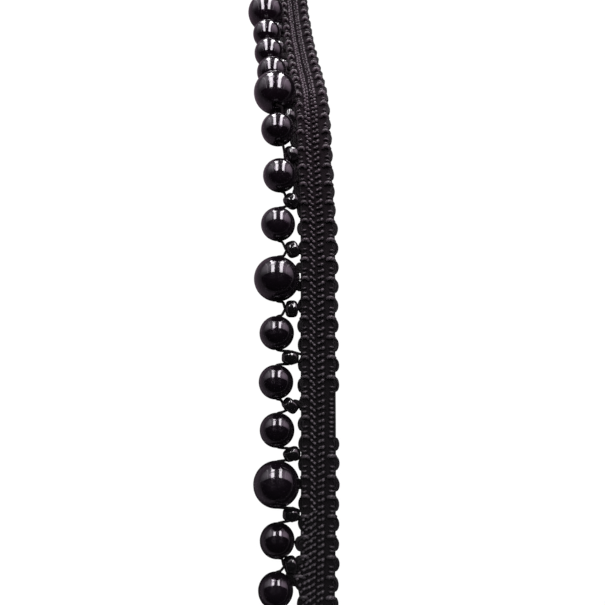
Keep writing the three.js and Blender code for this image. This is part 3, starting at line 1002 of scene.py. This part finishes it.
# Far panel. A small lilac light hangs low over the slope that faces away from the camera, and gives
# the far part of the trim its purple-brown tone. The beads don't mirror it.
PANEL_LEFT, PANEL_RIGHT = -0.025, 0.02
PANEL_NEAR, PANEL_FAR = (0.006, 0.066), (0.08, 0.05)
PANEL_COLOUR, PANEL_STRENGTH = (1, 0.5, 0.75, 1), 4.5
panel_corners = [
    (PANEL_LEFT, *PANEL_NEAR),
    (PANEL_RIGHT, *PANEL_NEAR),
    (PANEL_RIGHT, *PANEL_FAR),
    (PANEL_LEFT, *PANEL_FAR),
]
panel_material = glowing("far_panel", PANEL_COLOUR, PANEL_STRENGTH)
far_panel = stage_piece("far_panel", panel_corners, [(0, 1, 2, 3)], panel_material)
far_panel.visible_camera = far_panel.visible_glossy = far_panel.visible_shadow = False

# Black card. It hangs over the near side and is seen only where the trim mirrors it. Its edge is the
# sharp line across the beads, with dark below it.
CARD_EDGE_Y, CARD_HEIGHT, CARD_WIDTH, CARD_DEPTH = 0.016, 0.114, 1.6, 1.2
card_corners = [
    (-CARD_WIDTH / 2, CARD_EDGE_Y, CARD_HEIGHT),
    (CARD_WIDTH / 2, CARD_EDGE_Y, CARD_HEIGHT),
    (CARD_WIDTH / 2, CARD_EDGE_Y - CARD_DEPTH, CARD_HEIGHT),
    (-CARD_WIDTH / 2, CARD_EDGE_Y - CARD_DEPTH, CARD_HEIGHT),
]
card_material = new_material(
    "black_card", Base_Color=(0.002, 0.002, 0.002, 1), Roughness=1, Specular_IOR_Level=0
)[0]
card = stage_piece("black_card", card_corners, [(0, 1, 2, 3)], card_material)
card.visible_camera = card.visible_diffuse = card.visible_shadow = False

# Room. It is dark, with a soft glow on the left and another on the right of the far side. The camera
# sees it as a pale backdrop.
ROOM_LEVEL, ROOM_TOP, TOP_HEIGHT = (0.12, 0.11, 0.12, 1), (0.012, 0.012, 0.013, 1), 0.4
ROOM_SHOULDER, SHOULDER_HEIGHT = (0.08, 0.073, 0.08, 1), 0.18
BACKDROP, GLOW_TIGHTNESS = (0.95, 0.95, 0.95), 9.0
GLOWS = [
    # towards, colour
    ((-0.62, 0.62, 0.48), (1.35, 1.27, 1.38)),
    ((0.72, 0.50, 0.48), (1.9, 1.5, 1.85)),
]
world = bpy.data.worlds.new("room")
scene.world = world
world.use_nodes = True
tree = world.node_tree
looking = add(tree, "ShaderNodeTexCoord").outputs["Generated"]
room_height = add(tree, "ShaderNodeSeparateXYZ")
ramp = add(tree, "ShaderNodeValToRGB")
tree.links.new(looking, room_height.inputs[0])
tree.links.new(room_height.outputs[2], ramp.inputs[0])
ramp.color_ramp.elements[0].color = ROOM_LEVEL
ramp.color_ramp.elements[1].position = TOP_HEIGHT
ramp.color_ramp.elements[1].color = ROOM_TOP
ramp.color_ramp.elements.new(SHOULDER_HEIGHT).color = ROOM_SHOULDER
room_colour = ramp.outputs[0]
for towards, glow_colour in GLOWS:
    facing = add(tree, "ShaderNodeVectorMath", operation="DOT_PRODUCT")
    tree.links.new(looking, facing.inputs[0])
    facing.inputs[1].default_value = Vector(towards).normalized()
    glow = maths(tree, "POWER", maths(tree, "MAXIMUM", facing.outputs["Value"], 0.0), GLOW_TIGHTNESS)
    room_colour = mixed(tree, glow, room_colour, glow_colour, "ADD")
seen_by_camera = add(tree, "ShaderNodeLightPath").outputs["Is Camera Ray"]
room_colour = mixed(tree, seen_by_camera, room_colour, BACKDROP)
tree.links.new(room_colour, tree.nodes["Background"].inputs[0])
